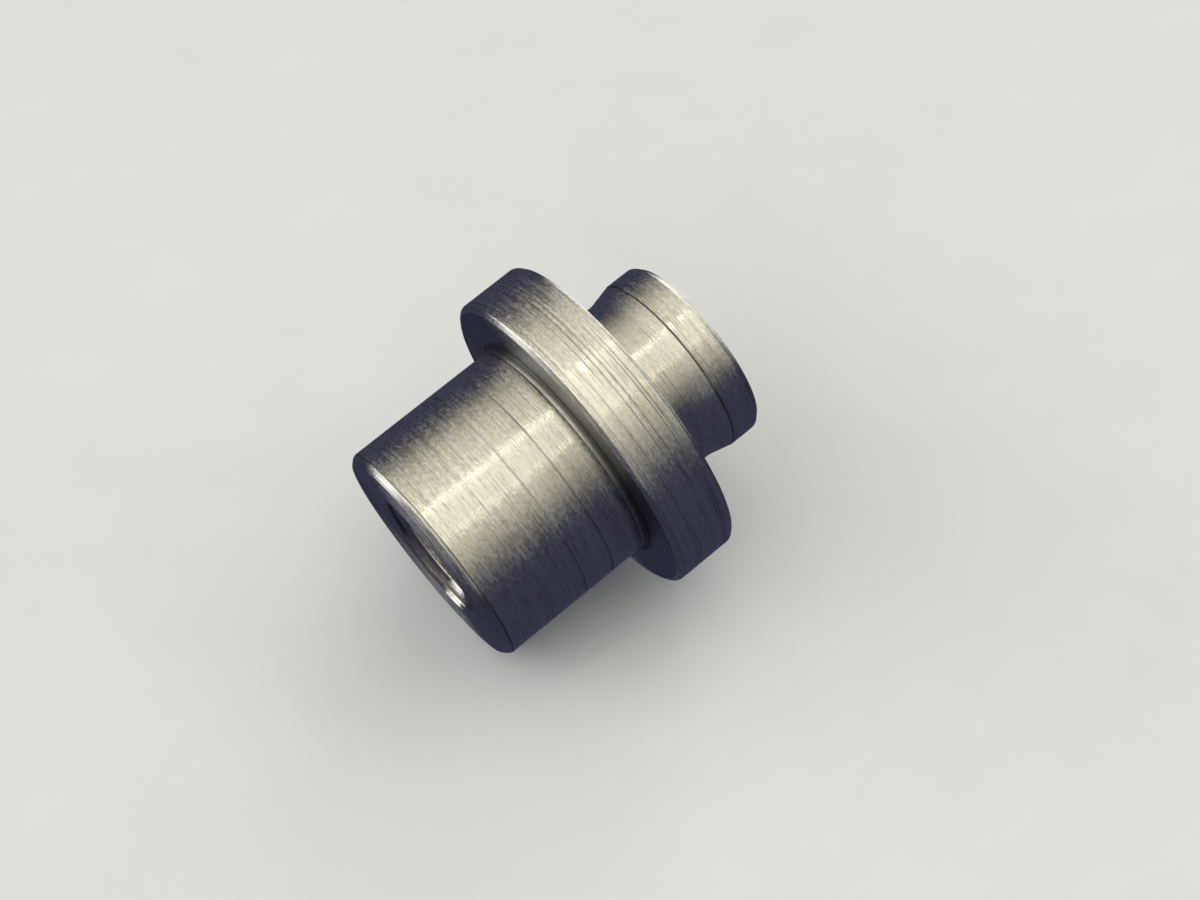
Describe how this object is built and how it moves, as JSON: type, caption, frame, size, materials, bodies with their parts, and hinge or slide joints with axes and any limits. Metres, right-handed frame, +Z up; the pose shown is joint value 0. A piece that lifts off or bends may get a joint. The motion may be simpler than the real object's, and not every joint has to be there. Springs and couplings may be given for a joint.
{
  "type": "shaft collar",
  "caption": "Flanged steel shaft collar: a bored hub and a smaller spigot each side of a round flange, locked to its shaft by a radial socket set screw with a swivelling brass shoe.",
  "frame": {"origin": "on the bore axis, in the plane of the flange's hub-side face", "axes": "+X along the bore axis towards the spigot, with the hub towards -X; +Y along the set screw's axis, out of the hub; +Z up, with the bore level"},
  "size_m": [0.028, 0.028, 0.028],
  "materials": {
    "turned_steel": "bare turned steel with fine tool marks running round it, a few deeper score lines, and small nicks",
    "black_screw_steel": "black-oxide alloy steel, slightly oily, with bare edges on the thread and the socket",
    "brass": "turned bare brass"
  },
  "bodies": {
    "collar": {"collar_body": "turned_steel"},
    "shoe": {"brass_shoe": "brass"},
    "screw": {"set_screw": "black_screw_steel"}
  },
  "joints": [
    {"name": "screw_feed", "type": "slide", "parent": "collar", "child": "shoe", "axis": [0, -1, 0], "range_m": [-0.0028, 0.0002]},
    {"name": "screw_turn", "type": "hinge", "parent": "shoe", "child": "screw", "pos_m": [-0.0072, 0.0078, 0], "axis": [0, -1, 0], "range_deg": [-1440.5, 103]}
  ],
  "couplings": [
    {"joint": "screw_turn", "follows": "screw_feed", "rad_per_m": 8976}
  ]
}
